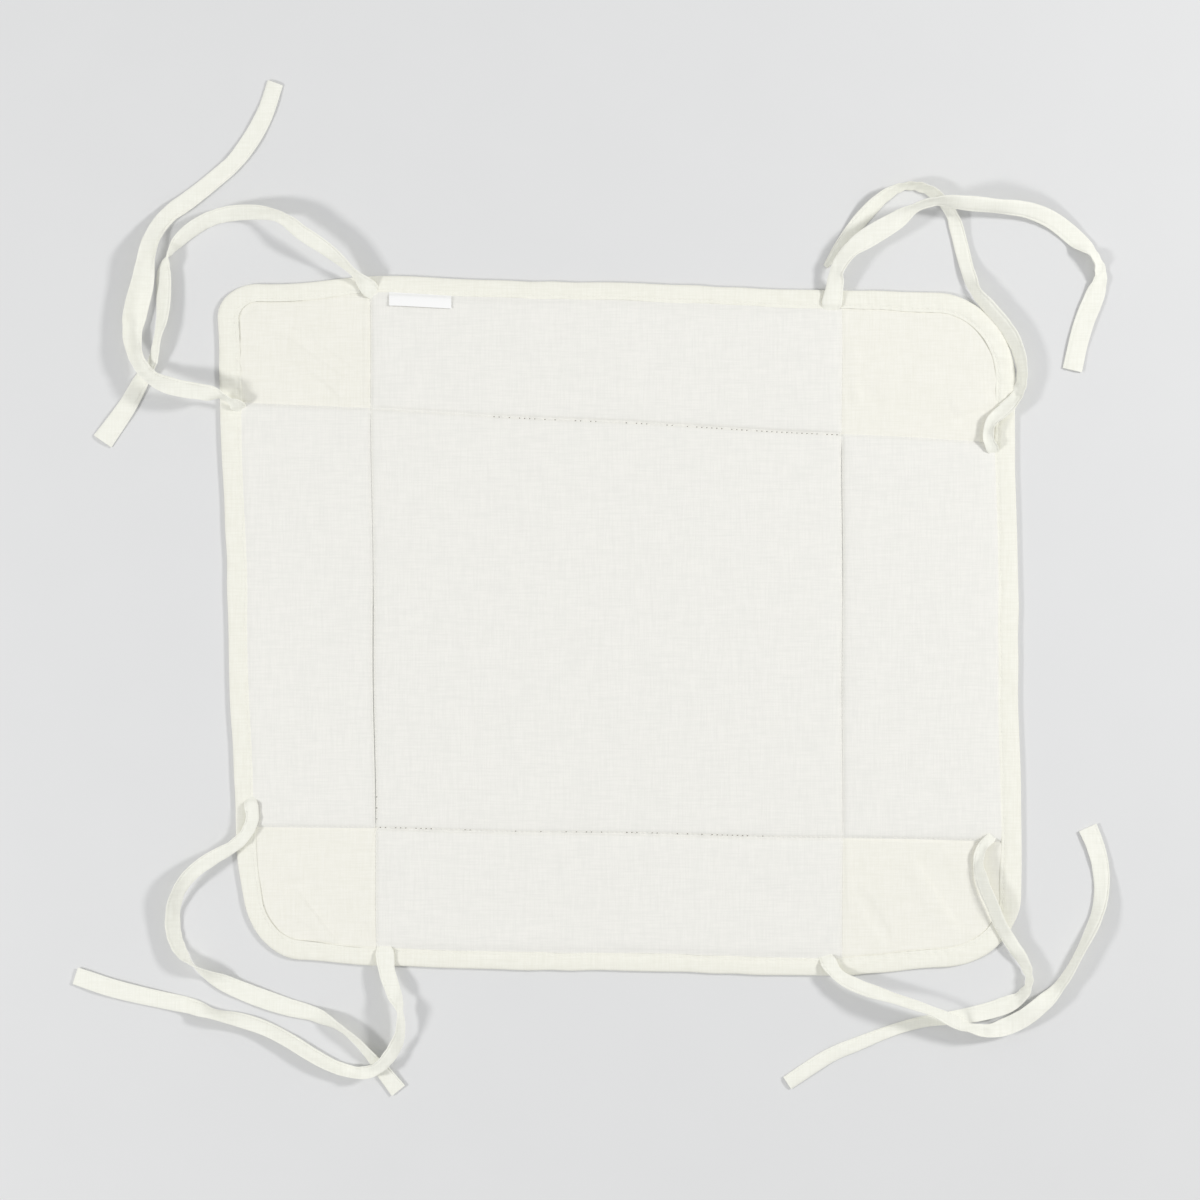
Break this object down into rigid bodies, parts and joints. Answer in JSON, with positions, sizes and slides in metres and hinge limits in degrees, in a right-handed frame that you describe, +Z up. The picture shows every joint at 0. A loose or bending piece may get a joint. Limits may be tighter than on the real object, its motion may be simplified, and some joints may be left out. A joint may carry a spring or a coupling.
{
  "type": "tie-corner fabric basket",
  "caption": "Quilted cotton tray laid open flat: its sides fold up along sewn lines and tie at the corners to make a square basket.",
  "frame": {"origin": "under the middle of the cloth's outline, on the surface it lies on", "axes": "+Z up out of the lining, +X towards the widest side, +Y towards the side with the label"},
  "size_m": [0.4728, 0.4626, 0.0139],
  "materials": {
    "lining": "matte woven cotton over wadding",
    "corner_lining": "matte woven cotton, soft and unpadded",
    "shell": "matte woven cotton",
    "binding": "folded cotton tape, stitched",
    "tie": "folded cotton tape, stitched",
    "stiffener": "pressed felt",
    "label": "woven satin, blank"
  },
  "bodies": {
    "base": {"base_lining": "lining", "base_shell": "shell", "base_stiffener": "stiffener"},
    "side_north": {"side_north_lining": "lining", "side_north_shell": "shell", "side_north_stiffener": "stiffener", "side_north_binding": "binding", "tie_nw_north": "tie", "tie_ne_north": "tie", "label": "label"},
    "side_south": {"side_south_lining": "lining", "side_south_shell": "shell", "side_south_stiffener": "stiffener", "side_south_binding": "binding", "tie_sw_south": "tie", "tie_se_south": "tie"},
    "side_west": {"side_west_lining": "lining", "side_west_shell": "shell", "side_west_stiffener": "stiffener", "side_west_binding": "binding", "tie_nw_west": "tie", "tie_sw_west": "tie"},
    "side_east": {"side_east_lining": "lining", "side_east_shell": "shell", "side_east_stiffener": "stiffener", "side_east_binding": "binding", "tie_ne_east": "tie", "tie_se_east": "tie"},
    "corner_ne_north": {"corner_ne_north_lining": "corner_lining", "corner_ne_north_shell": "shell", "corner_ne_north_binding": "binding"},
    "corner_ne_east": {"corner_ne_east_lining": "corner_lining", "corner_ne_east_shell": "shell", "corner_ne_east_binding": "binding"},
    "corner_nw_north": {"corner_nw_north_lining": "corner_lining", "corner_nw_north_shell": "shell", "corner_nw_north_binding": "binding"},
    "corner_nw_west": {"corner_nw_west_lining": "corner_lining", "corner_nw_west_shell": "shell", "corner_nw_west_binding": "binding"},
    "corner_se_south": {"corner_se_south_lining": "corner_lining", "corner_se_south_shell": "shell", "corner_se_south_binding": "binding"},
    "corner_se_east": {"corner_se_east_lining": "corner_lining", "corner_se_east_shell": "shell", "corner_se_east_binding": "binding"},
    "corner_sw_south": {"corner_sw_south_lining": "corner_lining", "corner_sw_south_shell": "shell", "corner_sw_south_binding": "binding"},
    "corner_sw_west": {"corner_sw_west_lining": "corner_lining", "corner_sw_west_shell": "shell", "corner_sw_west_binding": "binding"}
  },
  "joints": [
    {"name": "north_fold", "type": "hinge", "parent": "base", "child": "side_north", "pos_m": [0, 0.09325, 0.0026], "axis": [1, 0, 0], "range_deg": [0, 90], "deforming": ["tie_nw_north", "tie_ne_north"]},
    {"name": "south_fold", "type": "hinge", "parent": "base", "child": "side_south", "pos_m": [0, -0.09375, 0.0026], "axis": [-1, 0, 0], "range_deg": [0, 90], "deforming": ["tie_sw_south", "tie_se_south"]},
    {"name": "west_fold", "type": "hinge", "parent": "base", "child": "side_west", "pos_m": [-0.1135, 0, 0.0026], "axis": [0, 1, 0], "range_deg": [0, 90], "deforming": ["tie_nw_west", "tie_sw_west"]},
    {"name": "east_fold", "type": "hinge", "parent": "base", "child": "side_east", "pos_m": [0.0995, 0, 0.0026], "axis": [0, -1, 0], "range_deg": [0, 90], "deforming": ["tie_ne_east", "tie_se_east"]},
    {"name": "ne_north_crease", "type": "hinge", "parent": "side_north", "child": "corner_ne_north", "pos_m": [0.0995, 0.12475, 0.0026], "axis": [0, 1, 0], "range_deg": [0, 45]},
    {"name": "ne_east_crease", "type": "hinge", "parent": "side_east", "child": "corner_ne_east", "pos_m": [0.1395, 0.09325, 0.0026], "axis": [-1, 0, 0], "range_deg": [0, 45]},
    {"name": "nw_north_crease", "type": "hinge", "parent": "side_north", "child": "corner_nw_north", "pos_m": [-0.1135, 0.12475, 0.0026], "axis": [0, -1, 0], "range_deg": [0, 45]},
    {"name": "nw_west_crease", "type": "hinge", "parent": "side_west", "child": "corner_nw_west", "pos_m": [-0.1465, 0.09325, 0.0026], "axis": [-1, 0, 0], "range_deg": [0, 45]},
    {"name": "se_south_crease", "type": "hinge", "parent": "side_south", "child": "corner_se_south", "pos_m": [0.0995, -0.125, 0.0026], "axis": [0, 1, 0], "range_deg": [0, 45]},
    {"name": "se_east_crease", "type": "hinge", "parent": "side_east", "child": "corner_se_east", "pos_m": [0.1395, -0.09375, 0.0026], "axis": [1, 0, 0], "range_deg": [0, 45]},
    {"name": "sw_south_crease", "type": "hinge", "parent": "side_south", "child": "corner_sw_south", "pos_m": [-0.1135, -0.125, 0.0026], "axis": [0, -1, 0], "range_deg": [0, 45]},
    {"name": "sw_west_crease", "type": "hinge", "parent": "side_west", "child": "corner_sw_west", "pos_m": [-0.1465, -0.09375, 0.0026], "axis": [1, 0, 0], "range_deg": [0, 45]}
  ],
  "couplings": [
    {"joint": "north_fold", "follows": "east_fold", "ratio": 1},
    {"joint": "south_fold", "follows": "east_fold", "ratio": 1},
    {"joint": "west_fold", "follows": "east_fold", "ratio": 1},
    {"joint": "ne_north_crease", "follows": "east_fold", "ratio": 0.5},
    {"joint": "ne_east_crease", "follows": "east_fold", "ratio": 0.5},
    {"joint": "nw_north_crease", "follows": "east_fold", "ratio": 0.5},
    {"joint": "nw_west_crease", "follows": "east_fold", "ratio": 0.5},
    {"joint": "se_south_crease", "follows": "east_fold", "ratio": 0.5},
    {"joint": "se_east_crease", "follows": "east_fold", "ratio": 0.5},
    {"joint": "sw_south_crease", "follows": "east_fold", "ratio": 0.5},
    {"joint": "sw_west_crease", "follows": "east_fold", "ratio": 0.5}
  ]
}
